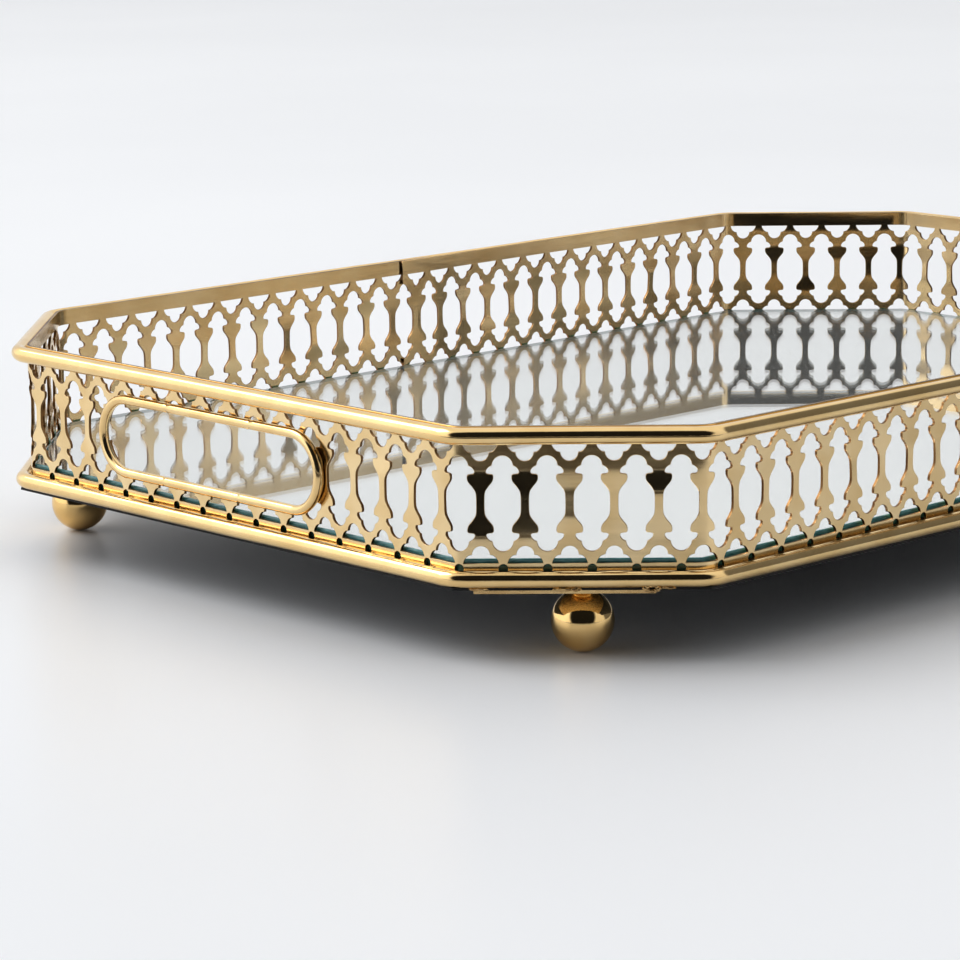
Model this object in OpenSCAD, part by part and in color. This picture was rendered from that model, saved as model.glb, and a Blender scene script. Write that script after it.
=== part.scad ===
// Octagonal mirror tray with a pierced metal gallery, two ring handles and four ball feet.
// Millimetres, +Z up, long side along X. The origin is on the table, under the tray's middle.

/* [Plan] */
// Length of each long side, between its two bends
long_side = 269; // [220:1:320]
// Length of each short side, between its two bends
short_side = 163.7; // [140:0.1:200]
// Length of each cut corner, between its two bends
corner_side = 57.7; // [52:0.1:70]

/* [Feet and base] */
// Diameter of each ball foot
ball_d = 15; // [10:0.5:20]
// Height of the neck between a ball foot and its corner plate
neck_h = 1.4; // [0.2:0.1:3]
// How far inside the gallery's outer face each ball foot stands
ball_inset = 8.7; // [6:0.1:10]
// Thickness of each corner plate
plate_t = 0.8; // [0.5:0.1:2]
// Length of each corner plate's outer edge
plate_l = 42; // [36:1:50]
// Thickness of the felt under the tray
felt_t = 0.5; // [0.4:0.1:1.5]
// Thickness of the hardboard base
board_t = 3.2; // [3:0.1:5]
// Thickness of the mirror glass
glass_t = 3; // [2:0.5:4]

/* [Rims] */
// Diameter of the round wire of both rims
rim_d = 4; // [3:0.1:5]
// Distance between the centre lines of the lower and the upper rim wire
rim_rise = 33.5; // [32:0.5:40]
// Radius of the rim wire's bends, on its centre line
rim_bend = 9; // [6:0.5:11]

/* [Gallery] */
// Thickness of the pierced sheet
sheet_t = 0.8; // [0.6:0.1:1.2]
// Width of one motif of the left strip
left_pitch = 10.3; // [10:0.01:10.5]
// Width of one motif of the right strip
right_pitch = 10.18; // [9.8:0.01:10.5]
// Gap between the ends of the two strips
seam_gap = 0.4; // [0.2:0.1:1]

/* [Handles] */
// Overall length of each handle ring
ring_l = 85.6; // [60:0.1:100]
// Overall height of each handle ring
ring_h = 21.4; // [18:0.1:24]
// Diameter of the handle ring's wire
ring_d = 2.5; // [2:0.1:3]
// How far each handle sits off the middle of its side, to the nearest motif
ring_shift = 5.5; // [-8:0.5:8]
// Place of the left handle's middle between two motif legs
left_ring_phase = 0.4; // [0.4:0.05:0.5]
// Place of the right handle's middle between two motif legs
right_ring_phase = 0.5; // [0.45:0.05:0.5]

/* [Hidden] */
ENDS = ["left", "right"];
CORNERS = ["front_left", "front_right", "back_left", "back_right"];
$fn = 48;

// Half the tray, measured to the gallery's outer faces.
corner_cut = corner_side / sqrt(2);
half_x = long_side / 2 + corner_cut;
half_y = short_side / 2 + corner_cut;

// Heights above the table.
plate_z = ball_d + neck_h;
felt_z = plate_z + plate_t;
base_z = felt_z + felt_t;
// Bending swells the rim wire by this much.
bend_swell = 0.04;
low_rim_z = base_z + (rim_d + bend_swell) / 2;
top_rim_z = low_rim_z + rim_rise;
glass_z = base_z + board_t;
band_h = rim_rise + rim_d;

// The solder film keeps the wires this far off the sheet.
solder_film = 0.05;
wire_out = rim_d / 2 + solder_film;
bend_overlap = 0.2;

// The sheet follows the rim wire round its bends, so a flat's outer face stops short of the
// sharp corner: along the flat, then in from it and along the mitre between two flats.
bend_r = rim_bend - wire_out - bend_swell;
bend_run = bend_r * tan(22.5);
bend_back = bend_r / cos(22.5) - bend_r;
bend_tip = [bend_back * sin(22.5), bend_back * cos(22.5)];

// Clearance of the glass and the board inside the gallery.
glass_gap = 0.4;
board_gap = 0.6;
// How far the felt reaches out under the lower rim wire.
felt_out = 2.4;

// The motif, measured from its middle line, which is this far above the band's middle.
motif_lift = 0.6;
motif_mid = band_h / 2 + motif_lift;
crown_y = 8.8;
crown_r = 2.4;
shoulder = [2.55, 8.7];
ear = [3.8, 7.3];
arrow = [2.1, 6.4];
cheek = [2.2, 5.4];
belly = [4.15, 2.9];
lunette_tip = 12;
lunette_r = 2;
lunette_knee = [2.75, 12.1];
lunette_base = [3.95, 14.05];
drop_y = 15.35;
drop_d = 2.2;
tip_trim = 0.1;

// Handle opening, which the ring's wire covers all round.
hole_l = ring_l - ring_d;
hole_h = ring_h - ring_d;

// Corner plate and the screw that holds a ball foot under it.
plate_out = 2.5;
plate_in = 13;
plate_shift = 4;
screw_d = 3;
screw_clear_d = 3.4;
screw_head_d = 5.6;
screw_head_h = 1.5;
screw_depth = 6;
neck_d = 6;

// Solder beads along a corner plate's outer edge.
bead_d = 2.4;
bead_out = 3.2;

// The sides run counterclockwise: 0 right end, 1 back right corner, 2 back, 3 back left
// corner, 4 left end, 5 front left corner, 6 front, 7 front right corner.
function corners(out) =
  let (t = out * tan(22.5),
       x = half_x + out, y = half_y + out,
       lx = long_side / 2 + t, sy = short_side / 2 + t)
  [[x, -sy], [x, sy], [lx, y], [-lx, y], [-x, sy], [-x, -sy], [-lx, -y], [lx, -y]];

function side_length(i) =
  i % 2 == 1 ? corner_side : i % 4 == 0 ? short_side : long_side;

// What is left of a length after whole motifs.
function past_motifs(length, pitch) = length - pitch * floor(length / pitch);

// Each strip keeps its own pitch round the bends. The left one has a leg this far past the
// bend between the left end and the front left corner, and the right one has a leg this far
// before the bend between the back right corner and the back.
left_anchor = 0.3;
right_anchor = 0.3;

// Puts its children in the frame of a side: x runs along it, y points into the tray.
module on_side(i, out = 0) {
  p = corners(out)[i];
  translate([p.x, p.y, 0]) rotate(90 + 45 * i) children();
}

// A large opening between two spindles: crown, ears and belly, the same upside down.
module spindle_gap() {
  for (s = [1, -1])
    translate([0, s * crown_y]) circle(r = crown_r);
  polygon([
    [shoulder.x, shoulder.y], [ear.x, ear.y], [arrow.x, arrow.y], [cheek.x, cheek.y],
    [belly.x, belly.y], [belly.x, -belly.y], [cheek.x, -cheek.y], [arrow.x, -arrow.y],
    [ear.x, -ear.y], [shoulder.x, -shoulder.y], [-shoulder.x, -shoulder.y], [-ear.x, -ear.y],
    [-arrow.x, -arrow.y], [-cheek.x, -cheek.y], [-belly.x, -belly.y], [-belly.x, belly.y],
    [-cheek.x, cheek.y], [-arrow.x, arrow.y], [-ear.x, ear.y], [-shoulder.x, shoulder.y]
  ]);
}

// A small D-shaped opening against the upper or the lower border.
module lunette(s) {
  translate([0, s * lunette_tip]) circle(r = lunette_r);
  polygon([
    [-lunette_knee.x, s * lunette_knee.y], [lunette_knee.x, s * lunette_knee.y],
    [lunette_base.x, s * lunette_base.y], [-lunette_base.x, s * lunette_base.y]
  ]);
}

// One motif: the openings over a leg and beside it.
module motif(pitch) {
  spindle_gap();
  translate([0, -drop_y]) circle(d = drop_d);
  for (s = [1, -1])
    translate([pitch / 2, 0]) lunette(s);
}

// The tips of an arrowhead whose spindle stands this far outside the end of a flat. A bend or
// a seam there would cut them loose from it, so they are trimmed away. A bend also takes the
// flat's outer face back to bend_tip, so a spindle that only just reaches in counts too.
module loose_tips(gap, pitch) {
  neck = pitch / 2 - ear.x - bend_tip.x;
  barb = pitch / 2 - arrow.x;
  if (gap > neck && gap < barb)
    for (y = [-ear.y, belly.y - tip_trim])
      translate([-1, y]) square([barb - gap + tip_trim + 1, ear.y - belly.y + tip_trim]);
}

module stadium(l, h) {
  for (s = [1, -1])
    translate([s * (l - h) / 2, 0]) circle(d = h);
  square([l - h, h], center = true);
}

// A flat of the pierced strip, from u0 to u1 along side i, with a handle opening at handle_u.
module gallery_flat(i, u0, u1, leg, pitch, handle_u = undef) {
  mitre = sheet_t * tan(22.5);
  spindle = leg + pitch / 2;
  steps = ceil(side_length(i) / pitch) + 1;
  color("#d9b56c")
    on_side(i)
      intersection() {
        translate([0, sheet_t, base_z]) rotate([90, 0, 0])
          linear_extrude(sheet_t)
            difference() {
              translate([u0, 0]) square([u1 - u0, band_h]);
              for (k = [-1:steps])
                if (leg + k * pitch > u0 - pitch && leg + k * pitch < u1 + pitch)
                  translate([leg + k * pitch, motif_mid]) motif(pitch);
              translate([u0, motif_mid]) loose_tips(past_motifs(u0 - spindle, pitch), pitch);
              translate([u1, motif_mid]) mirror([1, 0])
                loose_tips(past_motifs(spindle - u1, pitch), pitch);
              if (!is_undef(handle_u))
                translate([handle_u, motif_mid]) stadium(hole_l, hole_h);
            }
        translate([0, 0, base_z - 1])
          linear_extrude(band_h + 2)
            polygon([
              [bend_run, 0], [side_length(i) - bend_run, 0],
              [side_length(i) - bend_tip.x, bend_tip.y], [side_length(i) - mitre, sheet_t],
              [mitre, sheet_t], [bend_tip.x, bend_tip.y]
            ]);
      }
}

// Half of a long side, on one side of the seam in its middle.
module gallery_half(i, before_seam, leg, pitch) {
  seam = side_length(i) / 2;
  if (before_seam)
    gallery_flat(i, 0, seam - seam_gap / 2, leg, pitch);
  else
    gallery_flat(i, seam + seam_gap / 2, side_length(i), leg, pitch);
}

// Legs of the left strip, which runs from the back seam over the left end to the front seam.
left_back_leg = past_motifs(long_side + corner_side + short_side + left_anchor, left_pitch);
left_corner_back_leg = past_motifs(corner_side + short_side + left_anchor, left_pitch);
left_end_leg = past_motifs(short_side + left_anchor, left_pitch);
left_corner_front_leg = past_motifs(left_anchor, left_pitch);
left_front_leg = past_motifs(left_anchor - corner_side, left_pitch);

// Legs of the right strip, which runs from the front seam over the right end to the back seam.
right_end_start = corner_side + short_side - right_anchor;
right_front_leg = past_motifs(right_end_start + corner_side + long_side, right_pitch);
right_corner_front_leg = past_motifs(right_end_start + corner_side, right_pitch);
right_end_leg = past_motifs(right_end_start, right_pitch);
right_corner_back_leg = past_motifs(corner_side - right_anchor, right_pitch);
right_back_leg = past_motifs(-right_anchor, right_pitch);

module gallery_back_right() gallery_half(2, true, right_back_leg, right_pitch);
module gallery_back_left() gallery_half(2, false, left_back_leg, left_pitch);
module gallery_front_left() gallery_half(6, true, left_front_leg, left_pitch);
module gallery_front_right() gallery_half(6, false, right_front_leg, right_pitch);

module gallery_corner(name) {
  if (name == "front_left")
    gallery_flat(5, 0, corner_side, left_corner_front_leg, left_pitch);
  if (name == "back_left")
    gallery_flat(3, 0, corner_side, left_corner_back_leg, left_pitch);
  if (name == "front_right")
    gallery_flat(7, 0, corner_side, right_corner_front_leg, right_pitch);
  if (name == "back_right")
    gallery_flat(1, 0, corner_side, right_corner_back_leg, right_pitch);
}

// Distance along an end to the middle of its handle.
function handle_spot(leg, pitch, phase) =
  leg + pitch * (round((short_side / 2 - ring_shift - leg) / pitch - 0.5) + phase);
left_handle_u = handle_spot(left_end_leg, left_pitch, left_ring_phase);
right_handle_u = handle_spot(right_end_leg, right_pitch, right_ring_phase);

module gallery_end(name) {
  if (name == "left")
    gallery_flat(4, 0, short_side, left_end_leg, left_pitch, left_handle_u);
  else
    gallery_flat(0, 0, short_side, right_end_leg, right_pitch, right_handle_u);
}

// A round wire bent round all eight corners. Each straight length runs a little way into
// the bends at its ends, where bending has swollen the wire a hair.
module rim_wire(z) {
  path = corners(wire_out);
  reach = rim_bend * tan(22.5) - bend_overlap;
  to_centre = rim_bend / cos(22.5);
  color("#e3c078")
    for (i = [0:7]) {
      start = path[i];
      end = path[(i + 1) % 8];
      translate([start.x, start.y, z]) rotate(90 + 45 * i)
        translate([reach, 0, 0]) rotate([0, 90, 0])
          cylinder(h = norm(end - start) - 2 * reach, d = rim_d);
      aim = 45 * i + 22.5;
      translate([end.x - to_centre * cos(aim), end.y - to_centre * sin(aim), z])
        rotate(45 * i) rotate_extrude(angle = 45)
          translate([rim_bend, 0]) circle(d = rim_d + bend_swell);
    }
}

module top_rim_wire() rim_wire(top_rim_z);
module bottom_rim_wire() rim_wire(low_rim_z);

// A wire ring with straight top and bottom, soldered round a handle opening.
module handle_ring(name) {
  end_r = hole_h / 2;
  run = ring_l - ring_h;
  color("#e3c078")
    on_side(name == "left" ? 4 : 0)
      translate([name == "left" ? left_handle_u : right_handle_u, -ring_d / 2 - solder_film,
                 base_z + motif_mid]) rotate([90, 0, 0]) {
        for (s = [1, -1]) {
          translate([-run / 2, s * end_r, 0]) rotate([0, 90, 0]) cylinder(h = run, d = ring_d);
          translate([s * run / 2, 0, 0]) rotate(s == 1 ? -90 : 90)
            rotate_extrude(angle = 180) translate([end_r, 0]) circle(d = ring_d);
        }
      }
}

module screw_spots() {
  for (i = [1:2:7])
    on_side(i) translate([corner_side / 2, ball_inset, 0]) children();
}

// An octagonal sheet, set out or in from the gallery's outer faces.
module slab(out, z, t) {
  translate([0, 0, z]) linear_extrude(t) polygon(corners(out));
}

module mirror_glass() {
  color("#cfe3e6") slab(-sheet_t - glass_gap, glass_z, glass_t);
}

module base_board() {
  color("#6b4f35")
    difference() {
      slab(-sheet_t - board_gap, base_z, board_t);
      screw_spots() {
        translate([0, 0, base_z - 1]) cylinder(h = board_t + 2, d = screw_clear_d);
        translate([0, 0, glass_z - screw_head_h])
          cylinder(h = screw_head_h, d1 = screw_clear_d, d2 = screw_head_d + 0.4);
      }
    }
}

module felt_pad() {
  color("#141414")
    difference() {
      slab(felt_out, felt_z, felt_t);
      screw_spots() translate([0, 0, felt_z - 1]) cylinder(h = felt_t + 2, d = screw_clear_d);
    }
}

function corner_side_index(name) =
  name == "front_left" ? 5 : name == "front_right" ? 7 : name == "back_left" ? 3 : 1;

// A thin plate under each cut corner, wide outside and narrow inside.
module corner_plate(name) {
  outer = plate_l / 2;
  inner = plate_l / 2 - (plate_in - plate_out) * 0.7;
  mid = corner_side / 2 - plate_shift;
  color("#d9b56c")
    on_side(corner_side_index(name))
      translate([0, 0, plate_z])
        linear_extrude(plate_t)
          difference() {
            polygon([
              [mid - outer, -plate_out], [mid + outer, -plate_out],
              [mid + inner, plate_in], [mid - inner, plate_in]
            ]);
            translate([corner_side / 2, ball_inset]) circle(d = screw_clear_d);
          }
}

module ball_foot(name) {
  color("#e8c57c")
    on_side(corner_side_index(name))
      translate([corner_side / 2, ball_inset, 0])
        difference() {
          union() {
            translate([0, 0, ball_d / 2]) sphere(d = ball_d);
            translate([0, 0, ball_d / 2]) cylinder(h = ball_d / 2 + neck_h, d = neck_d);
          }
          translate([0, 0, plate_z - screw_depth]) cylinder(h = screw_depth + 1, d = screw_d);
        }
}

// Four countersunk screws, from the top of the board down into the ball feet.
module foot_screws() {
  color("silver")
    screw_spots() {
      translate([0, 0, plate_z - screw_depth])
        cylinder(h = glass_z - plate_z + screw_depth, d = screw_d);
      translate([0, 0, glass_z - screw_head_h])
        cylinder(h = screw_head_h, d1 = screw_d, d2 = screw_head_d);
    }
}

// Beads that join the outer edge of each corner plate to the lower rim wire.
module solder_beads() {
  color("#cfa75c")
    for (i = [1:2:7], along = [-plate_l / 2 + 1, 0, plate_l / 2 - 1])
      on_side(i)
        difference() {
          translate([corner_side / 2 - plate_shift + along, -bead_out, felt_z])
            sphere(d = bead_d);
          translate([0, -wire_out, low_rim_z]) rotate([0, 90, 0])
            cylinder(h = corner_side, d = rim_d);
          translate([0, -plate_out, plate_z])
            cube([corner_side, plate_out, plate_t + felt_t + 1]);
        }
}

top_rim_wire();
bottom_rim_wire();
gallery_front_left();
gallery_front_right();
gallery_back_left();
gallery_back_right();
for (name = ENDS) {
  gallery_end(name);
  handle_ring(name);
}
for (name = CORNERS) {
  gallery_corner(name);
  corner_plate(name);
  ball_foot(name);
}
mirror_glass();
base_board();
felt_pad();
foot_screws();
solder_beads();
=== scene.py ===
import math
import random

import bmesh
import bpy
import numpy as np
from mathutils import Matrix, Vector, noise
from mathutils.geometry import delaunay_2d_cdt


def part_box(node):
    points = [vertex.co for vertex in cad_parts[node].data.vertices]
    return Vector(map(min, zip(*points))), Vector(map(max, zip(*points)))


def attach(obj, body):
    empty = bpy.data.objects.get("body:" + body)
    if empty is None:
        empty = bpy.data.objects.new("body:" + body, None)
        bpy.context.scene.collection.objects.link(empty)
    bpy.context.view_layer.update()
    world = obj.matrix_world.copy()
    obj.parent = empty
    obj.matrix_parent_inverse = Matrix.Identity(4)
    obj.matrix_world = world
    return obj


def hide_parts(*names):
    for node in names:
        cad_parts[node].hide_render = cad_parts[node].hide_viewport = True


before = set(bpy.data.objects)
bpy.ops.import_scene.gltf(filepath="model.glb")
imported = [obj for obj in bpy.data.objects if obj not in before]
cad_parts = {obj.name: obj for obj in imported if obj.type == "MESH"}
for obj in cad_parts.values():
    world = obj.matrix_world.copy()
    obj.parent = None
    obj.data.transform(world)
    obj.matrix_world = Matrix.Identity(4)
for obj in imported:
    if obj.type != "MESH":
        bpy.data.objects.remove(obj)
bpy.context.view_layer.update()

# Lengths are in millimetres here, and become metres where a mesh is made.
MM = 0.001
TURN = math.radians(45)
HALF_TAN = math.tan(TURN / 2)
HALF_COS = math.cos(TURN / 2)

# A cut corner's length, the sheet's thickness, and the solder between a ring and the sheet.
CORNER_SIDE = 57.7
SHEET = 0.8
SOLDER_FILM = 0.05
# The bend radius of a rim's centre line, a ring's wire radius, and how far the motif's middle
# lies above the gallery's.
RIM_BEND = 9.0
RING_R = 1.25
MOTIF_LIFT = 0.6


# ---------------------------------------------------------------- places from the CAD frame
def node_box(node):
    lo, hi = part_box(node)
    return np.array(lo) / MM, np.array(hi) / MM


END_LO, END_HI = node_box("gallery_end_left")
HALF_X = -END_LO[0]
HALF_Y = -node_box("gallery_front_left")[0][1]
CUT = CORNER_SIDE / math.sqrt(2)
LONG = 2 * (HALF_X - CUT)
SHORT = 2 * (HALF_Y - CUT)
LENGTHS = [SHORT, CORNER_SIDE, LONG, CORNER_SIDE] * 2
BASE_Z, BAND_TOP = END_LO[2], END_HI[2]
MOTIF_Z = (BASE_Z + BAND_TOP) / 2 + MOTIF_LIFT
LOW_RIM = node_box("bottom_rim_wire")
TOP_RIM = node_box("top_rim_wire")
RIM_R = (TOP_RIM[1][2] - TOP_RIM[0][2]) / 2 - 0.02
# How far a rim's centre line lies outside the gallery's outer faces.
WIRE_OUT = 2.05


def corners(out=0.0, long_in=0.0):
    """The octagon's corners, set out from the gallery's outer faces. long_in pulls the long sides in."""
    t = out * HALF_TAN
    x, y = HALF_X + out, HALF_Y + out - long_in
    lx, sy = LONG / 2 + t + long_in, SHORT / 2 + t
    pts = [(x, -sy), (x, sy), (lx, y), (-lx, y), (-x, sy), (-x, -sy), (-lx, -y), (lx, -y)]
    return np.array(pts)


def normal(angle):
    return np.stack([np.cos(angle), np.sin(angle)], -1)


def tangent(angle):
    return np.stack([-np.sin(angle), np.cos(angle)], -1)


def ramp(x, lo, hi):
    t = np.clip((x - lo) / (hi - lo), 0, 1)
    return t * t * (3 - 2 * t)


def on_side(i, along, out, z):
    """A point set by its place along side i, its distance outside the sheet, and its height."""
    a = TURN * i
    p = corners()[i] + tangent(a) * along + normal(a) * out
    return np.array([p[0], p[1], z])


# ---------------------------------------------------------------- node materials
class Nodes:
    """A short way to write a node tree."""

    def __init__(self, tree):
        self.tree = tree

    def add(self, kind, inputs=None, **props):
        n = self.tree.nodes.new(kind)
        for k, v in props.items():
            setattr(n, k, v)
        for k, v in (inputs or {}).items():
            if isinstance(v, bpy.types.NodeSocket):
                self.tree.links.new(v, n.inputs[k])
            else:
                n.inputs[k].default_value = v
        return n

    def math(self, op, a, b=0.0, clamp=False):
        return self.add("ShaderNodeMath", {0: a, 1: b}, operation=op, use_clamp=clamp).outputs[0]

    def smooth(self, value, lo, hi, out_lo=0.0, out_hi=1.0):
        inputs = {"Value": value, "From Min": lo, "From Max": hi, "To Min": out_lo, "To Max": out_hi}
        return self.add("ShaderNodeMapRange", inputs, interpolation_type="SMOOTHSTEP").outputs[0]

    def mix(self, factor, a, b):
        n = self.add("ShaderNodeMix", data_type="RGBA")
        for socket, v in ((n.inputs[0], factor), (n.inputs[6], a), (n.inputs[7], b)):
            if isinstance(v, bpy.types.NodeSocket):
                self.tree.links.new(v, socket)
            else:
                socket.default_value = v
        return n.outputs[2]

    def noise(self, vector, scale, detail=3.0, rough=0.5):
        inputs = {"Vector": vector, "Scale": scale, "Detail": detail, "Roughness": rough}
        return self.add("ShaderNodeTexNoise", inputs).outputs["Fac"]

    def stretched(self, vector, scale):
        return self.add("ShaderNodeMapping", {"Vector": vector, "Scale": scale}).outputs[0]


def rgb(r, g, b):
    return (r, g, b, 1.0)


def new_material(name):
    m = bpy.data.materials.new(name)
    m.use_nodes = True
    m.node_tree.nodes.clear()
    n = Nodes(m.node_tree)
    shader = n.add("ShaderNodeBsdfPrincipled")
    out = n.add("ShaderNodeOutputMaterial")
    m.node_tree.links.new(shader.outputs[0], out.inputs[0])
    return m, n, shader


def metal(name, light, dark, rough, grain, bump, uv=False, patches=90.0):
    """Plated metal: its tone drifts in patches, and fine grain breaks up its gloss."""
    m, n, shader = new_material(name)
    place = n.add("ShaderNodeTexCoord").outputs["UV" if uv else "Object"]
    drift = n.noise(n.stretched(place, (patches,) * 3) if uv else place, 1.0 if uv else patches, 4.0)
    fine = n.noise(n.stretched(place, grain), 1.0, 5.0, 0.65)
    tone = n.smooth(drift, 0.3, 0.7)
    n.tree.links.new(n.mix(tone, dark, light), shader.inputs["Base Color"])
    spread = n.smooth(fine, 0.25, 0.75, rough[0], rough[1])
    n.tree.links.new(spread, shader.inputs["Roughness"])
    shader.inputs["Metallic"].default_value = 1.0
    relief = n.add("ShaderNodeBump", {"Height": fine, "Strength": bump, "Distance": 0.0002})
    n.tree.links.new(relief.outputs[0], shader.inputs["Normal"])
    return m


RIM = metal("rim_gold", rgb(0.84, 0.63, 0.33), rgb(0.77, 0.55, 0.26), (0.08, 0.15),
            (700, 700, 700), 0.05)
GALLERY = metal("gallery_gold", rgb(0.81, 0.635, 0.375), rgb(0.72, 0.53, 0.275), (0.13, 0.21),
                (60, 700, 1), 0.035, uv=True, patches=70.0)
EDGE = metal("gallery_cut_edge", rgb(0.30, 0.17, 0.07), rgb(0.12, 0.06, 0.025), (0.28, 0.45),
             (900, 900, 900), 0.35)
RING = metal("ring_gold", rgb(0.84, 0.64, 0.35), rgb(0.76, 0.54, 0.26), (0.08, 0.16),
             (700, 700, 700), 0.06)
BALL = metal("ball_gold", rgb(0.85, 0.62, 0.30), rgb(0.79, 0.54, 0.23), (0.04, 0.09),
             (500, 500, 500), 0.05)
PLATE = metal("plate_gold", rgb(0.76, 0.56, 0.29), rgb(0.60, 0.41, 0.19), (0.20, 0.34),
              (600, 600, 600), 0.22)
SOLDER = metal("solder_gold", rgb(0.72, 0.52, 0.26), rgb(0.40, 0.25, 0.11), (0.16, 0.34),
               (500, 500, 500), 0.35, patches=260.0)
STEEL = metal("screw_steel", rgb(0.62, 0.62, 0.62), rgb(0.50, 0.50, 0.51), (0.22, 0.40),
              (900, 900, 200), 0.2)


def silvering():
    m, n, shader = new_material("mirror_silvering")
    place = n.add("ShaderNodeTexCoord").outputs["Object"]
    specks = n.smooth(n.noise(place, 900.0, 2.0), 0.74, 0.80)
    n.tree.links.new(n.mix(specks, rgb(0.93, 0.95, 0.95), rgb(0.80, 0.82, 0.82)),
                     shader.inputs["Base Color"])
    n.tree.links.new(n.smooth(n.noise(place, 6.0), 0.3, 0.7, 0.0, 0.012), shader.inputs["Roughness"])
    shader.inputs["Metallic"].default_value = 1.0
    return m


def clear_glass():
    m, n, shader = new_material("mirror_clear_face")
    place = n.add("ShaderNodeTexCoord").outputs["Object"]
    shader.inputs["Base Color"].default_value = rgb(0.975, 0.992, 0.988)
    shader.inputs["IOR"].default_value = 1.52
    shader.inputs["Transmission Weight"].default_value = 0.87
    n.tree.links.new(n.smooth(n.noise(place, 14.0, 4.0), 0.45, 0.75, 0.0, 0.02),
                     shader.inputs["Roughness"])
    return m


def glass_edge():
    m, n, shader = new_material("mirror_ground_edge")
    place = n.add("ShaderNodeTexCoord").outputs["Object"]
    grind = n.noise(n.stretched(place, (300, 300, 2500)), 1.0, 4.0, 0.7)
    n.tree.links.new(n.mix(n.smooth(grind, 0.3, 0.7), rgb(0.05, 0.20, 0.21), rgb(0.16, 0.42, 0.42)),
                     shader.inputs["Base Color"])
    n.tree.links.new(n.smooth(grind, 0.2, 0.8, 0.12, 0.35), shader.inputs["Roughness"])
    shader.inputs["IOR"].default_value = 1.52
    shader.inputs["Coat Weight"].default_value = 0.5
    return m


def fibre(name, light, dark, scale, rough, bump, sheen):
    """Felt or hardboard: short fibres in two tones with a fuzzy relief."""
    m, n, shader = new_material(name)
    place = n.add("ShaderNodeTexCoord").outputs["Object"]
    strands = n.noise(n.stretched(place, (scale, scale * 0.35, scale)), 1.0, 6.0, 0.75)
    cross = n.noise(n.stretched(place, (scale * 0.3, scale, scale)), 1.0, 6.0, 0.75)
    fuzz = n.math("MAXIMUM", strands, cross)
    n.tree.links.new(n.mix(n.smooth(fuzz, 0.45, 0.75), dark, light), shader.inputs["Base Color"])
    n.tree.links.new(n.smooth(fuzz, 0.4, 0.8, rough - 0.1, rough), shader.inputs["Roughness"])
    shader.inputs["Sheen Weight"].default_value = sheen
    relief = n.add("ShaderNodeBump", {"Height": fuzz, "Strength": bump, "Distance": 0.0003})
    n.tree.links.new(relief.outputs[0], shader.inputs["Normal"])
    return m


FELT = fibre("felt_black", rgb(0.035, 0.034, 0.036), rgb(0.006, 0.006, 0.007), 1500.0, 1.0, 0.8, 0.25)
BOARD = fibre("hardboard_brown", rgb(0.34, 0.20, 0.11), rgb(0.17, 0.085, 0.045), 900.0, 0.8, 0.4, 0.0)


# ---------------------------------------------------------------- making pieces
def add_piece(name, verts, faces, mats, nodes=(), face_mats=None, normals=None, uv=None):
    mesh = bpy.data.meshes.new(name)
    mesh.from_pydata((np.asarray(verts, float) * MM).tolist(), [], faces)
    for m in mats:
        mesh.materials.append(m)
    if face_mats is not None:
        mesh.polygons.foreach_set("material_index", face_mats)
    mesh.polygons.foreach_set("use_smooth", [True] * len(mesh.polygons))
    mesh.update()
    if uv is not None:
        layer = mesh.uv_layers.new(name="sheet")
        loops = np.empty(len(mesh.loops), np.int32)
        mesh.loops.foreach_get("vertex_index", loops)
        layer.data.foreach_set("uv", (np.asarray(uv, float) * MM)[loops].ravel())
    if normals is not None:
        mesh.normals_split_custom_set_from_vertices(np.asarray(normals, float).tolist())
    obj = bpy.data.objects.new(name, mesh)
    bpy.context.scene.collection.objects.link(obj)
    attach(obj, "root")
    if nodes:
        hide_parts(*nodes)
    return obj


def tube(path, across, up, radius, segments=40):
    """A closed round tube along a closed path. across and up span its section."""
    count = len(path)
    a = np.arange(segments) * 2 * math.pi / segments
    ring = across[:, None, :] * np.cos(a)[None, :, None] + up[:, None, :] * np.sin(a)[None, :, None]
    verts = (path[:, None, :] + ring * np.asarray(radius)[:, None, None]).reshape(-1, 3)
    faces = []
    for i in range(count):
        j = (i + 1) % count
        for k in range(segments):
            m = (k + 1) % segments
            faces.append([i * segments + k, i * segments + m, j * segments + m, j * segments + k])
    return verts, faces


# ---------------------------------------------------------------- rim wires
def rim_path(z, phase):
    """The centre line of a rim, with the small waves of hand-bent wire."""
    pts, across = [], []
    path = corners(WIRE_OUT)
    reach = RIM_BEND * HALF_TAN
    for i in range(8):
        a = TURN * i
        start, end = path[i], path[(i + 1) % 8]
        length = np.linalg.norm(end - start)
        steps = int((length - 2 * reach) / 5)
        for k in range(steps + 1):
            f = k / steps
            ease = math.sin(math.pi * f) ** 2
            u = reach + f * (length - 2 * reach)
            sway = ease * (0.07 * math.sin(u / 21 + i + phase) + 0.03 * math.sin(u / 7 + 2 * i))
            lift = ease * 0.06 * math.sin(u / 26 + 2.1 * i + phase)
            p = start + tangent(a) * u + normal(a) * sway
            pts.append([p[0], p[1], z + lift])
            across.append([*normal(a), 0.0])
        mid = end - normal(a + TURN / 2) * RIM_BEND / HALF_COS
        for k in range(1, 14):
            b = a + TURN * k / 14
            p = mid + normal(b) * RIM_BEND
            pts.append([p[0], p[1], z])
            across.append([*normal(b), 0.0])
    return np.array(pts), np.array(across)


for name, box, phase in (("bottom_rim", LOW_RIM, 0.4), ("top_rim", TOP_RIM, 2.6)):
    pts, across = rim_path((box[0][2] + box[1][2]) / 2, phase)
    up = np.tile([0.0, 0.0, 1.0], (len(pts), 1))
    radius = RIM_R + 0.012 * np.sin(np.arange(len(pts)) * 0.9)
    verts, faces = tube(pts, across, up, radius, 44)
    add_piece(name, verts, faces, [RIM], [name + "_wire"])


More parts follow.
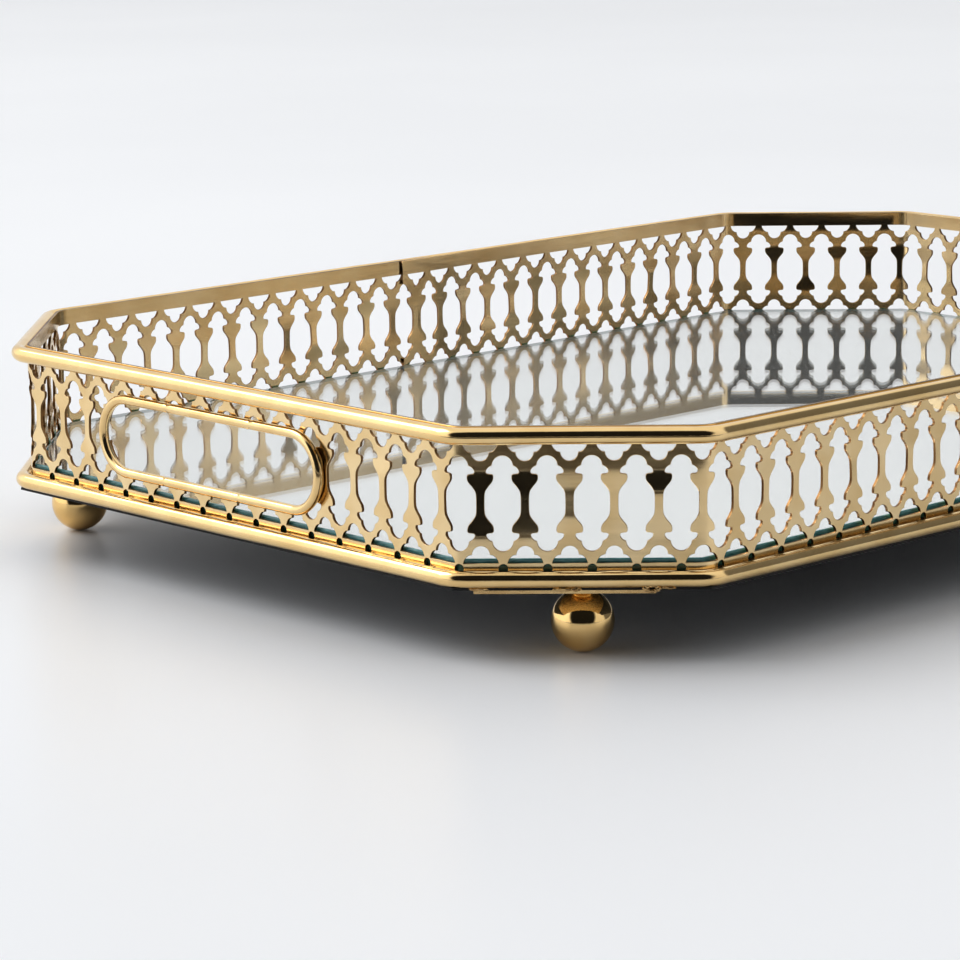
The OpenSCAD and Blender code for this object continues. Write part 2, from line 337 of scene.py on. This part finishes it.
# ---------------------------------------------------------------- handle rings
RING_STEPS = 24
JOINT_DEPTH = 0.14


def ring_spot(end_name):
    """Where a handle ring sits: its middle, half the length of its straights, its ends' radius."""
    lo, hi = node_box("handle_ring_" + end_name)
    end_r = (hi[2] - lo[2]) / 2 - RING_R
    return (lo + hi) / 2, (hi[1] - lo[1]) / 2 - RING_R - end_r, end_r


def ring_plan(run, end_r):
    """Points round a ring: place along it, height, and the outward direction in the same two axes."""
    steps = np.arange(RING_STEPS) / RING_STEPS

    def round_end(middle, start):
        turns = start - math.pi * steps
        return [(middle + end_r * math.cos(b), end_r * math.sin(b), math.cos(b), math.sin(b))
                for b in turns]

    return ([(-run + 2 * run * f, end_r, 0.0, 1.0) for f in steps] + round_end(run, math.pi / 2)
            + [(run - 2 * run * f, -end_r, 0.0, -1.0) for f in steps] + round_end(-run, -math.pi / 2))


def handle_ring(side, end_name, joints):
    """A wire ring. Each joint is (place along the ring, 1.0 on the upper straight or -1.0 on the lower)."""
    mid, run, end_r = ring_spot(end_name)
    plan = ring_plan(run, end_r)
    # Extra points where the wire's ends meet, so that the joint shows as a fine groove.
    fine = []
    for k, p in enumerate(plan):
        q = plan[(k + 1) % len(plan)]
        fine.append((*p, 0.0))
        for place, level in joints:
            straight = p[3] == q[3] and p[3] == level
            if straight and min(p[0], q[0]) <= place < max(p[0], q[0]):
                for step, depth in ((-0.45, 0.0), (-0.15, 1.0), (0.15, 1.0), (0.45, 0.0)):
                    u = place + step * (1 if q[0] > p[0] else -1)
                    fine.append((u, p[1], p[2], p[3], depth))
    out = normal(TURN * side)
    along_y = tangent(TURN * side)[1]
    x = out[0] * (HALF_X + RING_R + SOLDER_FILM)
    pts, across, radius = [], [], []
    for u, v, nu, nv, depth in fine:
        pts.append([x, mid[1] + along_y * u, mid[2] + v])
        across.append([0.0, along_y * nu, nv])
        radius.append(RING_R - JOINT_DEPTH * depth)
    up = np.tile([*out, 0.0], (len(pts), 1))
    verts, faces = tube(np.array(pts), np.array(across), up, radius, 28)
    add_piece("ring_" + end_name, verts, faces, [RING], ["handle_ring_" + end_name])


handle_ring(4, "left", [(-15.0, 1.0), (17.0, 1.0), (-17.0, -1.0), (12.0, -1.0)])
handle_ring(0, "right", [(-14.0, 1.0), (16.0, 1.0), (-12.0, -1.0), (15.0, -1.0)])


# ---------------------------------------------------------------- pierced gallery strips
def arc(cx, cy, r, start, end, count):
    a = np.radians(np.linspace(start, end, count))
    return [(cx + r * math.cos(t), cy + r * math.sin(t)) for t in a]


def motif_outline():
    """The large opening between two spindles, about its own middle."""
    quarter = arc(0, 8.85, 2.4, 90, 4, 12)
    quarter += [(2.48, 8.86), (2.8, 8.78), (3.2, 8.52), (3.54, 8.16), (3.75, 7.78), (3.82, 7.45)]
    quarter += [(3.74, 7.16), (3.5, 7.0), (3.1, 6.93), (2.65, 6.9), (2.3, 6.8), (2.12, 6.58)]
    quarter += [(2.07, 6.3), (2.08, 5.95), (2.15, 5.55), (2.33, 5.12), (2.68, 4.66)]
    quarter += [(3.1, 4.18), (3.5, 3.66), (3.84, 3.12), (4.05, 2.6), (4.14, 2.0), (4.18, 1.2)]
    right = quarter + [(4.19, 0.0)] + [(x, -y) for x, y in reversed(quarter)]
    left = [(-x, y) for x, y in reversed(right[1:-1])]
    return np.array(right + left)


def lunette_outline(sign):
    """The small opening against a border, its flat edge away from the motif's middle."""
    half = [(4.1, 14.05), (3.98, 13.55), (3.7, 13.0), (3.3, 12.52), (2.85, 12.18), (2.4, 12.05)]
    half += arc(0, 12.0, 2.05, 0, -90, 10)
    left = [(-x, y) for x, y in reversed(half[:-1])]
    return np.array(half + left) * np.array([1, sign])


LEG_HOLE = np.array(arc(0, -15.35, 1.1, 0, 337.5, 16))
OUTLINE = motif_outline()
LUNETTES = [lunette_outline(1), lunette_outline(-1)]
# The sheet's outer bend radius, the length of its arc, and the flat that the arc replaces.
SHEET_BEND = RIM_BEND - WIRE_OUT
ARC_LENGTH = SHEET_BEND * TURN
BEND_REACH = SHEET_BEND * HALF_TAN
# How far the rounding of a cut edge reaches into the face.
CHAMFER = 0.11
# Heights above the motif's middle: a spindle's heads, and the lines of points across the sheet.
HEAD = 5.2
SPINDLE_LEVELS = [0.8, 2.4, 3.9, HEAD, 6.5, 7.8, 9.4, 12.6]
SPINDLE_LEVELS = [-y for y in reversed(SPINDLE_LEVELS)] + SPINDLE_LEVELS
# The sheet's gentle waves: their depth, and how fast they run along the strip and up it.
WAVE, WAVE_ALONG, WAVE_UP = 0.05, 17, 9


def stadium(mid, half_run, r):
    right = arc(mid + half_run, 0, r, -90, 90, 22)
    left = arc(mid - half_run, 0, r, 90, 270, 22)
    return np.array(right + left)


def inside(poly, x, y):
    """Which of many points lie inside a polygon."""
    hit = np.zeros(len(x), bool)
    for (x0, y0), (x1, y1) in zip(poly, np.roll(poly, -1, 0)):
        if y0 == y1:
            continue
        crosses = (y0 > y) != (y1 > y)
        hit ^= crosses & (x < x0 + (y - y0) * (x1 - x0) / (y1 - y0))
    return hit


class Strip:
    """One pierced strip, bent round four corners. s runs along it and z up it."""

    def __init__(self, name, sides, first, s0, s1, anchor, pitch, handle, tilt, nest, band):
        self.name, self.anchor, self.pitch, self.band = name, anchor, pitch, band
        self.s0, self.s1, self.handle, self.tilt, self.nest = s0, s1, handle, tilt, nest
        self.sides, self.starts = sides, []
        s = first
        for i in sides:
            self.starts.append(s)
            s += LENGTHS[i]

    def place(self, s, inward):
        """Plan positions and outward angles for places along the strip."""
        starts = np.array(self.starts)
        idx = np.clip(np.searchsorted(starts, s, side="right") - 1, 0, len(starts) - 1)
        side = np.array(self.sides)[idx]
        u = s - starts[idx]
        length = np.array(LENGTHS)[side]
        half = ARC_LENGTH / 2
        at_start = (u < half) & (idx > 0)
        at_end = (u > length - half) & (idx < len(starts) - 1)
        angle = TURN * side.astype(float)
        angle = np.where(at_start, angle - (half - u) / ARC_LENGTH * TURN, angle)
        angle = np.where(at_end, angle + (u - length + half) / ARC_LENGTH * TURN, angle)
        flat = BEND_REACH + (u - half) * (length - 2 * BEND_REACH) / (length - 2 * half)
        base = corners()[side]
        face = TURN * side.astype(float)
        pos = base + tangent(face) * flat[:, None] - normal(face) * inward[:, None]
        vertex = np.where(at_end, (side + 1) % 8, side)
        bisect = np.where(at_end, face + TURN / 2, face - TURN / 2)
        mid = corners()[vertex] - normal(bisect) * SHEET_BEND / HALF_COS
        bent = mid + normal(angle) * (SHEET_BEND - inward)[:, None]
        return np.where((at_start | at_end)[:, None], bent, pos), angle

    def lean(self, s, z, spindle):
        """The slope that the shading gives each spindle's heads and shaft, and the upper band."""
        y = z - MOTIF_Z
        upper, shaft, lower, _ = self.tilt(spindle)
        slope = self.band(s) * ramp(y, 11.0, 14.0)
        for amount, at, reach in ((upper, HEAD, 2.6), (shaft, 0.0, 3.2), (lower, -HEAD, 2.6)):
            slope = slope + amount * np.exp(-((y - at) / reach) ** 4)
        return slope

    def offset(self, s, z, spindle):
        """How far inward the sheet is pushed: gentle waves, each spindle's own set, and the nesting."""
        y = z - MOTIF_Z
        push = WAVE * np.sin(s / WAVE_ALONG + 1.3) * np.sin(z / WAVE_UP + 0.4)
        push = push + 0.025 * np.sin(s / 6.1 + z / 5)
        window = np.where(np.abs(y) < 10.5, np.cos(math.pi * y / 21) ** 2, 0)
        upper, shaft, lower, twist = self.tilt(spindle)
        for amount, at, reach in ((upper, HEAD, 2.2), (shaft, 0.0, 3.2), (lower, -HEAD, 2.2)):
            push = push + 0.5 * amount * (y - at) * np.exp(-((y - at) / reach) ** 2)
        middle = self.anchor + (spindle + 0.5) * self.pitch
        return push + np.tan(twist) * (s - middle) * window + self.nest(s)

    def outlines(self):
        loops = []
        first = int(math.floor((self.s0 - self.anchor) / self.pitch)) - 1
        last = int(math.ceil((self.s1 - self.anchor) / self.pitch)) + 1
        for k in range(first, last + 1):
            leg = self.anchor + k * self.pitch
            for poly, mid in ((OUTLINE, leg), (LEG_HOLE, leg), (LUNETTES[0], leg + self.pitch / 2),
                              (LUNETTES[1], leg + self.pitch / 2)):
                loops.append(poly + np.array([mid, 0]))
        if self.handle:
            loops.append(stadium(*self.handle))
        return loops

    def flat_mesh(self):
        """The pierced strip laid flat: its corner points and triangles."""
        low, high = BASE_Z - MOTIF_Z, BAND_TOP - MOTIF_Z
        pts, edges = [], []
        for loop in self.outlines():
            if loop[:, 0].max() < self.s0 - 1 or loop[:, 0].min() > self.s1 + 1:
                continue
            n = len(pts)
            pts += loop.tolist()
            edges += [(n + k, n + (k + 1) % len(loop)) for k in range(len(loop))]
        cuts = [self.s0, self.s1]
        for s in self.starts[1:]:
            cuts += [s + ARC_LENGTH * f for f in np.linspace(-0.5, 0.5, 13)]
        cuts = sorted(cuts)
        for s in cuts:
            n = len(pts)
            pts += [[s, low], [s, high]]
            edges.append((n, n + 1))
        # Lines across the spindles give their heads and shafts points of their own.
        for y in [low, *SPINDLE_LEVELS, high]:
            n = len(pts)
            pts += [[s, y] for s in cuts]
            edges += [(n + k, n + k + 1) for k in range(len(cuts) - 1)]
        made = delaunay_2d_cdt([Vector(p) for p in pts], edges, [], 0, 1e-5, False)
        verts = np.array([tuple(v) for v in made[0]])
        faces = np.array([f for f in made[2] if len(f) == 3])
        c = verts[faces].mean(1)
        s, y = c[:, 0], c[:, 1]
        keep = (s > self.s0) & (s < self.s1) & (y > low) & (y < high)
        leg = (s - self.anchor + self.pitch / 2) % self.pitch - self.pitch / 2
        between = (s - self.anchor) % self.pitch - self.pitch / 2
        keep &= ~inside(OUTLINE, leg, y) & ~inside(LEG_HOLE, leg, y)
        for lunette in LUNETTES:
            keep &= ~inside(lunette, between, y)
        if self.handle:
            keep &= ~inside(stadium(*self.handle), s, y)
        return verts, faces[keep]

    def build(self, nodes):
        verts, faces = self.flat_mesh()
        bm = bmesh.new()
        made = [bm.verts.new((x, y, 0)) for x, y in verts]
        for f in faces:
            bm.faces.new([made[k] for k in f])
        bmesh.ops.delete(bm, geom=[v for v in bm.verts if not v.link_faces], context="VERTS")
        self.drop_chips(bm)
        bmesh.ops.recalc_face_normals(bm, faces=bm.faces)
        if sum(f.normal.z for f in bm.faces) < 0:
            bmesh.ops.reverse_faces(bm, faces=bm.faces)
        bmesh.ops.inset_region(bm, faces=bm.faces[:], thickness=CHAMFER, use_boundary=True,
                               use_even_offset=False)
        bm.verts.ensure_lookup_table()
        bm.verts.index_update()
        rim = np.array([v.is_boundary for v in bm.verts])
        flat = np.array([v.co[:2] for v in bm.verts])
        front = [[v.index for v in f.verts] for f in bm.faces]
        outward = np.zeros((len(flat), 2))
        walls = []
        for e in bm.edges:
            if not e.is_boundary:
                continue
            loop = e.link_loops[0]
            a, b = loop.vert.index, loop.link_loop_next.vert.index
            d = flat[b] - flat[a]
            d /= max(np.linalg.norm(d), 1e-9)
            for k in (a, b):
                outward[k] += (d[1], -d[0])
            walls.append((a, b))
        bm.free()
        n = len(flat)
        outward /= np.maximum(np.linalg.norm(outward, axis=1), 1e-9)[:, None]
        s, z = flat[:, 0], flat[:, 1] + MOTIF_Z
        spindle = np.floor((s - self.anchor) / self.pitch).astype(int)
        step = 0.05
        push = self.offset(s, z, spindle)
        push_s = (self.offset(s + step, z, spindle) - self.offset(s - step, z, spindle)) / (2 * step)
        wave = WAVE / WAVE_UP * np.sin(s / WAVE_ALONG + 1.3) * np.cos(z / WAVE_UP + 0.4)
        push_z = wave + self.lean(s, z, spindle)
        layers, normals = [], []
        for face_in, sign in ((0.0, 1.0), (SHEET, -1.0)):
            inward = push + face_in + sign * np.where(rim, CHAMFER * 0.6, 0.0)
            plan, angle = self.place(s, inward)
            layers.append(np.column_stack([plan, z]))
            out3 = np.column_stack([normal(angle), np.zeros(n)])
            along3 = np.column_stack([tangent(angle), np.zeros(n)])
            up3 = np.tile([0.0, 0.0, 1.0], (n, 1))
            face_n = sign * (out3 + push_s[:, None] * along3 + push_z[:, None] * up3)
            edge_n = outward[:, :1] * along3 + outward[:, 1:] * up3
            both = np.where(rim[:, None], edge_n, face_n)
            normals.append(both / np.linalg.norm(both, axis=1)[:, None])
        back = [[n + k for k in reversed(f)] for f in front]
        side = [[b, a, n + a, n + b] for a, b in walls]
        all_faces = front + back + side
        face_mats = [0] * (2 * len(front)) + [1] * len(side)
        uv = np.vstack([flat, flat])
        return add_piece(self.name, np.vstack(layers), all_faces, [GALLERY, EDGE],
                         nodes, face_mats, np.vstack(normals), uv)

    def drop_chips(self, bm):
        """Deletes what the handle opening or a strip's end cuts loose."""
        seen, groups = set(), []
        for f in bm.faces:
            if f in seen:
                continue
            group, todo = [], [f]
            seen.add(f)
            while todo:
                g = todo.pop()
                group.append(g)
                for e in g.edges:
                    for h in e.link_faces:
                        if h not in seen:
                            seen.add(h)
                            todo.append(h)
            groups.append(group)
        groups.sort(key=len)
        loose = [f for g in groups[:-1] for f in g]
        bmesh.ops.delete(bm, geom=loose, context="FACES")


def spindle_sets(seed, count, chosen):
    """How each spindle sits: the lean of its upper head, shaft and lower head, and its twist."""
    rng = random.Random(seed)
    table = {k: tuple(rng.gauss(0, spread) for spread in (0.07, 0.06, 0.07, 0.03))
             for k in range(-count, count + 1)}
    table.update(chosen)

    def look(spindle):
        rows = np.array([table[int(k)] for k in spindle])
        return rows.T

    return look


# Spindles whose set is chosen: on the front left corner, and on the back right corner.
FRONT_SPINDLES = {
    0: (0.20, 0.24, 0.24, 0.02), 1: (0.22, 0.15, 0.14, -0.02), 2: (-0.04, 0.09, -0.04, 0.02),
    3: (-0.07, -0.06, -0.03, 0.0), 4: (0.24, -0.05, -0.03, 0.01), 5: (-0.06, -0.07, -0.03, 0.0),
}
BACK_SPINDLES = {
    -1: (-0.02, -0.04, 0.0, 0.0), -2: (-0.16, -0.12, -0.05, 0.01), -3: (-0.06, -0.12, -0.18, 0.0),
    -4: (-0.13, -0.04, -0.03, 0.01), -5: (-0.12, -0.16, 0.0, 0.0), -6: (-0.22, -0.22, -0.06, 0.0),
}
# The motif's pitch on each strip, and where each strip's motif starts.
LEFT_PITCH, RIGHT_PITCH = 10.3, 10.18
LEFT_ANCHOR, RIGHT_ANCHOR = 0.3, -0.3
# Where the strips overlap, one is pushed in by this much, so that it lies inside the other.
NEST = SHEET + 0.03
# How far each strip runs past the middle of the long sides.
OVERLAP_BACK_LEFT, OVERLAP_BACK_RIGHT = 4.3, 7.7
OVERLAP_FRONT_LEFT, OVERLAP_FRONT_RIGHT = 3.8, 4.1


ring_mid, half_run, ring_r = ring_spot("left")
left_first = -SHORT - CORNER_SIDE - LONG
left_strip = Strip(
    "gallery_strip_left", [2, 3, 4, 5, 6], left_first,
    left_first + LONG / 2 - OVERLAP_BACK_LEFT, CORNER_SIDE + LONG / 2 + OVERLAP_FRONT_LEFT,
    LEFT_ANCHOR, LEFT_PITCH, (-SHORT / 2 - ring_mid[1], half_run, ring_r),
    spindle_sets(11, 70, FRONT_SPINDLES), lambda s: 0 * s, lambda s: 0 * s)
left_strip.build(["gallery_back_left", "gallery_corner_back_left", "gallery_end_left",
                  "gallery_corner_front_left", "gallery_front_left"])

ring_mid, half_run, ring_r = ring_spot("right")
right_first = -2 * CORNER_SIDE - SHORT - LONG
right_end = LONG / 2 + OVERLAP_BACK_RIGHT
right_start = right_first + LONG / 2 - OVERLAP_FRONT_RIGHT
right_strip = Strip(
    "gallery_strip_right", [6, 7, 0, 1, 2], right_first, right_start, right_end,
    RIGHT_ANCHOR, RIGHT_PITCH, (-CORNER_SIDE - SHORT / 2 + ring_mid[1], half_run, ring_r),
    spindle_sets(23, 70, BACK_SPINDLES),
    lambda s: NEST * (ramp(s, right_end - 26, right_end - 12)
                      + 1 - ramp(s, right_start + 9, right_start + 22)),
    lambda s: -0.21 * ramp(s, -CORNER_SIDE + 2, -CORNER_SIDE + 6) * (1 - 0.35 * ramp(s, -22, -4))
    * (1 - ramp(s, -3, -1)))
right_strip.build(["gallery_back_right", "gallery_corner_back_right", "gallery_end_right",
                   "gallery_corner_front_right", "gallery_front_right"])


# ---------------------------------------------------------------- mirror, feet and solder
# How far the glass lies inside the gallery's outer faces, and how much further at the long sides.
GLASS_IN, GLASS_LONG_IN = 1.2, 0.45


def mirror():
    """The glass pane: clear on top, ground round the edge and silvered underneath."""
    lo, hi = node_box("mirror_glass")
    z0, z1 = lo[2] + 0.03, hi[2]
    # Heights up the edge, and how far its bevels pull the outline in at each.
    rings = [(z0, 0.25), (z0 + 0.2, 0.0), (z1 - 0.3, 0.0), (z1 - 0.08, 0.10), (z1, 0.32)]
    verts = []
    for z, inset in rings:
        verts += [[x, y, z] for x, y in corners(-GLASS_IN - inset, GLASS_LONG_IN)]
    faces, mats = [list(reversed(range(8)))], [2]
    for level in range(len(rings) - 1):
        for k in range(8):
            m = (k + 1) % 8
            faces.append([8 * level + k, 8 * level + m, 8 * level + 8 + m, 8 * level + 8 + k])
            mats.append(1)
    faces.append([8 * (len(rings) - 1) + k for k in range(8)])
    mats.append(0)
    obj = add_piece("mirror_pane", verts, faces, [clear_glass(), glass_edge(), silvering()],
                    ["mirror_glass"], mats)
    obj.data.polygons.foreach_set("use_smooth", [False] * len(obj.data.polygons))
    return obj


mirror()


def lathe(profile, centre, segments=72):
    """A turned solid from (radius, height) pairs, closed at both ends."""
    verts, faces = [], []
    for r, z in profile:
        for k in range(segments):
            a = 2 * math.pi * k / segments
            verts.append([centre[0] + r * math.cos(a), centre[1] + r * math.sin(a), z])
    for i in range(len(profile) - 1):
        for k in range(segments):
            m = (k + 1) % segments
            faces.append([i * segments + k, i * segments + m,
                          (i + 1) * segments + m, (i + 1) * segments + k])
    faces.append(list(reversed(range(segments))))
    last = (len(profile) - 1) * segments
    faces.append([last + k for k in range(segments)])
    return verts, faces


CORNER_SIDES = {"front_left": 5, "back_left": 3, "front_right": 7, "back_right": 1}
for corner, side in CORNER_SIDES.items():
    lo, hi = node_box("ball_foot_" + corner)
    r = (hi[0] - lo[0]) / 2
    mid = (lo + hi) / 2
    ball_z = lo[2] + r
    profile = [(r * math.sin(t), ball_z - r * math.cos(t))
               for t in np.linspace(0.015, math.pi - math.asin(3.3 / r), 44)]
    # The short neck that meets the corner plate.
    neck = profile[-1][1]
    profile += [(3.12, neck + 0.12), (3.0, neck + 0.35), (3.0, hi[2] - 0.5), (3.25, hi[2] - 0.18),
                (3.6, hi[2] - 0.01)]
    verts, faces = lathe(profile, mid)
    add_piece("ball_" + corner, verts, faces, [BALL], ["ball_foot_" + corner])


def blob(centre, size, side, seed):
    """A lump of solder, drawn out along the wire."""
    bm = bmesh.new()
    bmesh.ops.create_icosphere(bm, subdivisions=4, radius=1.0)
    a = TURN * side
    along, out = tangent(a), normal(a)
    verts = []
    for v in bm.verts:
        lump = 1 + 0.28 * noise.noise(v.co * 1.7 + Vector((seed, 0, 0)))
        lump += 0.10 * noise.noise(v.co * 4.3 + Vector((0, seed, 0)))
        p = np.array(v.co) * lump * size
        plan = centre[:2] + along * p[0] + out * p[1]
        verts.append([plan[0], plan[1], centre[2] + p[2]])
    bm.verts.index_update()
    faces = [[v.index for v in f.verts] for f in bm.faces]
    bm.free()
    return verts, faces


def solder():
    """Solder under every cut corner, where the plate's edge meets the lower rim."""
    verts, faces = [], []
    low = (LOW_RIM[0][2] + LOW_RIM[1][2]) / 2
    mid = CORNER_SIDE / 2 - 4
    for side in CORNER_SIDES.values():
        # Each lump: its place along the side, outside the sheet and above the rim's middle, its size.
        lumps = [(mid - 20, 2.2, -2.2, (2.2, 0.6, 0.5)), (mid, 2.6, -2.15, (2.6, 0.7, 0.6)),
                 (mid + 2.6, 2.8, -2.1, (1.2, 0.6, 0.6)), (mid + 24, 2.7, -1.9, (1.5, 0.6, 0.5))]
        # A ring of small lumps makes a drop with a hollow middle.
        for t in np.linspace(0, 2 * math.pi, 9)[:-1]:
            lumps.append((mid + 20 + 1.5 * math.cos(t), 3.0, -2.05 + 0.62 * math.sin(t),
                          (0.75, 0.5, 0.42)))
        for k, (u, out, dz, size) in enumerate(lumps):
            v, f = blob(on_side(side, u, out, low + dz), np.array(size), side, 3.7 * k + side)
            n = len(verts)
            verts += v
            faces += [[n + i for i in face] for face in f]
    add_piece("solder_lumps", verts, faces, [SOLDER], ["solder_beads"])


solder()

for node, material in [("base_board", BOARD), ("felt_pad", FELT), ("foot_screws", STEEL)] + [
        ("corner_plate_" + c, PLATE) for c in CORNER_SIDES]:
    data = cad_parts[node].data
    data.materials.clear()
    data.materials.append(material)


# ---------------------------------------------------------------- floor, light and camera
def make_floor():
    m, n, shader = new_material("pale_floor")
    place = n.add("ShaderNodeTexCoord").outputs["Object"]
    n.tree.links.new(n.mix(n.smooth(n.noise(place, 2.0), 0.3, 0.7), rgb(0.84, 0.855, 0.88),
                           rgb(0.875, 0.89, 0.915)), shader.inputs["Base Color"])
    n.tree.links.new(n.smooth(n.noise(place, 3.0), 0.3, 0.7, 0.31, 0.34), shader.inputs["Roughness"])
    shader.inputs["Specular IOR Level"].default_value = 0.35
    bpy.ops.mesh.primitive_plane_add(size=30, location=(0, 0, 0))
    floor = bpy.context.object
    floor.name = "floor"
    floor.data.materials.append(m)


def make_dark_card():
    """A dark card on the floor, outside the picture, that only reflections see."""
    m, n, shader = new_material("dark_card")
    place = n.add("ShaderNodeTexCoord").outputs["Object"]
    n.tree.links.new(n.mix(n.noise(place, 5.0), rgb(0.035, 0.028, 0.020), rgb(0.055, 0.045, 0.035)),
                     shader.inputs["Base Color"])
    shader.inputs["Roughness"].default_value = 0.9
    # Clear from below, or the floor under it would reflect its underside.
    under = n.add("ShaderNodeNewGeometry").outputs["Backfacing"]
    n.tree.links.new(n.math("SUBTRACT", 1.0, under), shader.inputs["Alpha"])
    # How far from the front left corner's face the card starts, and its size, in metres.
    near, deep, wide = 160 * MM, 0.7, 1.1
    middle = (corners()[5] + corners()[6]) / 2 * MM
    away = Vector((-math.sqrt(0.5), -math.sqrt(0.5), 0))
    bpy.ops.mesh.primitive_plane_add(size=1)
    card = bpy.context.object
    card.name = "dark_card"
    card.scale = (deep, wide, 1)
    card.rotation_euler = (0, 0, math.radians(45))
    card.location = Vector((middle[0], middle[1], 0.0015)) + away * (near + deep / 2)
    card.data.materials.append(m)
    card.visible_camera = card.visible_diffuse = card.visible_shadow = False
    card.visible_transmission = False


def make_room():
    """Pale walls and ceiling, a bright window at the back left, and the dark end of the room."""
    world = bpy.data.worlds.new("studio")
    bpy.context.scene.world = world
    world.use_nodes = True
    world.node_tree.nodes.clear()
    n = Nodes(world.node_tree)
    way = n.add("ShaderNodeTexCoord").outputs["Generated"]
    height = n.add("ShaderNodeSeparateXYZ", {0: way}).outputs[2]

    def toward(azimuth, elevation):
        a, e = math.radians(azimuth), math.radians(elevation)
        aim = (math.cos(a) * math.cos(e), math.sin(a) * math.cos(e), math.sin(e))
        return n.add("ShaderNodeVectorMath", {0: way, 1: aim}, operation="DOT_PRODUCT").outputs["Value"]

    level = n.smooth(height, 0.0, 0.9, 0.84, 1.0)
    level = n.math("ADD", level, n.smooth(toward(133, 16), 0.5, 0.97, 0.0, 0.55))
    level = n.math("MULTIPLY", level, n.smooth(toward(-15, 14), 0.79, 0.88, 1.0, 0.22))
    level = n.math("MULTIPLY", level, n.smooth(toward(-135, 24), 0.62, 0.76, 1.0, 0.02))
    tint = n.mix(n.smooth(height, 0.0, 0.6), rgb(0.98, 0.985, 1.0), rgb(1.0, 1.0, 1.0))
    glow = n.add("ShaderNodeBackground", {"Color": tint, "Strength": level})
    plain = n.add("ShaderNodeBackground", {"Color": rgb(0.86, 0.87, 0.89), "Strength": 1.0})
    seen = n.add("ShaderNodeLightPath").outputs["Is Camera Ray"]
    both = n.add("ShaderNodeMixShader", {0: seen, 1: glow.outputs[0], 2: plain.outputs[0]})
    n.add("ShaderNodeOutputWorld", {0: both.outputs[0]})


def make_key_light():
    light = bpy.data.lights.new("key_softbox", "AREA")
    light.shape, light.size, light.size_y, light.energy = "RECTANGLE", 1.5, 1.1, 15
    obj = bpy.data.objects.new("key_softbox", light)
    bpy.context.scene.collection.objects.link(obj)
    obj.location = Vector((-0.9, 1.3, 1.7))
    obj.rotation_mode = "QUATERNION"
    aim = Vector((0, 0, 0.03)) - obj.location
    obj.rotation_quaternion = aim.to_track_quat("-Z", "Y")


def make_camera():
    """The photograph's viewing angle. The camera's place is in millimetres."""
    yaw, pitch, roll = (math.radians(v) for v in (46.8173, 11.6311, -0.7055))
    ahead = Vector((math.cos(yaw) * math.cos(pitch), math.sin(yaw) * math.cos(pitch), -math.sin(pitch)))
    right = Vector((math.sin(yaw), -math.cos(yaw), 0))
    up = right.cross(ahead)
    right, up = (right * math.cos(roll) + up * math.sin(roll),
                 up * math.cos(roll) - right * math.sin(roll))
    data = bpy.data.cameras.new("camera")
    data.sensor_width, data.lens = 36, 140.8031
    data.clip_start, data.clip_end = 0.05, 60
    obj = bpy.data.objects.new("camera", data)
    bpy.context.scene.collection.objects.link(obj)
    turn = Matrix((right, up, -ahead)).transposed().to_4x4()
    obj.matrix_world = Matrix.Translation(Vector((-748.085, -700.333, 216.147)) * MM) @ turn
    bpy.context.scene.camera = obj


make_floor()
make_dark_card()
make_room()
make_key_light()
make_camera()
view = bpy.context.scene.view_settings
view.view_transform = "Standard"
view.exposure, view.gamma = 0.12, 0.88
